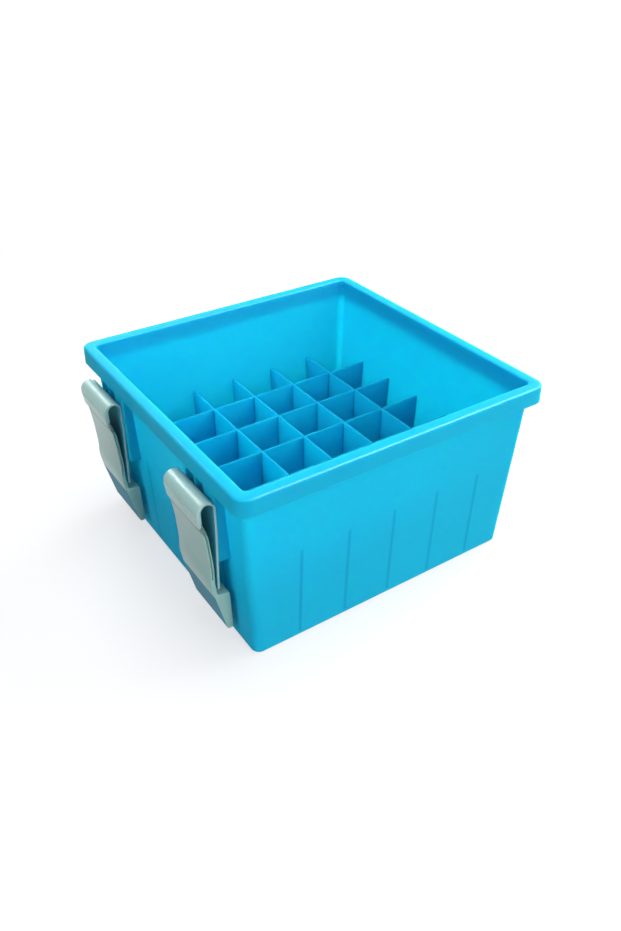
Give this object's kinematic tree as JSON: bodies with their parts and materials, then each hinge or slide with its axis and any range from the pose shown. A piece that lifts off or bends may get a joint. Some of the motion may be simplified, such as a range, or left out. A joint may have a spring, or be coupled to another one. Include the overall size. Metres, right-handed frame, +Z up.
{
  "type": "divided tub with hanging clips",
  "caption": "Open translucent tub divided into cells by lift-out slotted plates, with spring clips on one side that hang it on the wall of a larger box.",
  "frame": {"origin": "centre of the face that the tub stands on", "axes": "+Z up, out of the open top; +X to the right along the front, so the clips are on the -X side; +Y to the back"},
  "size_m": [0.2066, 0.1928, 0.112],
  "materials": {
    "tub": "satin, translucent, moulded in blue",
    "dividers": "satin, translucent, moulded in blue",
    "clips": "glossy, translucent smoke grey"
  },
  "bodies": {
    "tub": {"tub": "tub", "near_clip_hanger": "clips", "far_clip_hanger": "clips"},
    "lower_dividers": {"lower_divider_1": "dividers", "lower_divider_2": "dividers", "lower_divider_3": "dividers", "lower_divider_4": "dividers", "lower_divider_5": "dividers"},
    "upper_divider_1": {"upper_divider_1": "dividers"},
    "upper_divider_2": {"upper_divider_2": "dividers"},
    "upper_divider_3": {"upper_divider_3": "dividers"},
    "upper_divider_4": {"upper_divider_4": "dividers"},
    "upper_divider_5": {"upper_divider_5": "dividers"},
    "near_clip_jaw": {"near_clip_jaw": "clips"},
    "far_clip_jaw": {"far_clip_jaw": "clips"}
  },
  "joints": [
    {"name": "lower_dividers_lift", "type": "slide", "parent": "tub", "child": "lower_dividers", "axis": [0, 0, 1], "range_m": [0, 0.115]},
    {"name": "upper_divider_1_lift", "type": "slide", "parent": "lower_dividers", "child": "upper_divider_1", "axis": [0, 0, 1], "range_m": [0, 0.115]},
    {"name": "upper_divider_2_lift", "type": "slide", "parent": "lower_dividers", "child": "upper_divider_2", "axis": [0, 0, 1], "range_m": [0, 0.115]},
    {"name": "upper_divider_3_lift", "type": "slide", "parent": "lower_dividers", "child": "upper_divider_3", "axis": [0, 0, 1], "range_m": [0, 0.115]},
    {"name": "upper_divider_4_lift", "type": "slide", "parent": "lower_dividers", "child": "upper_divider_4", "axis": [0, 0, 1], "range_m": [0, 0.115]},
    {"name": "upper_divider_5_lift", "type": "slide", "parent": "lower_dividers", "child": "upper_divider_5", "axis": [0, 0, 1], "range_m": [0, 0.115]},
    {"name": "near_clip_flex", "type": "hinge", "parent": "tub", "child": "near_clip_jaw", "pos_m": [-0.10036, -0.0527, 0.09673], "axis": [0, 1, 0], "range_deg": [0, 9], "stiffness_Nm_per_rad": 1.5},
    {"name": "far_clip_flex", "type": "hinge", "parent": "tub", "child": "far_clip_jaw", "pos_m": [-0.10036, 0.059, 0.09673], "axis": [0, 1, 0], "range_deg": [0, 9], "stiffness_Nm_per_rad": 1.5}
  ]
}
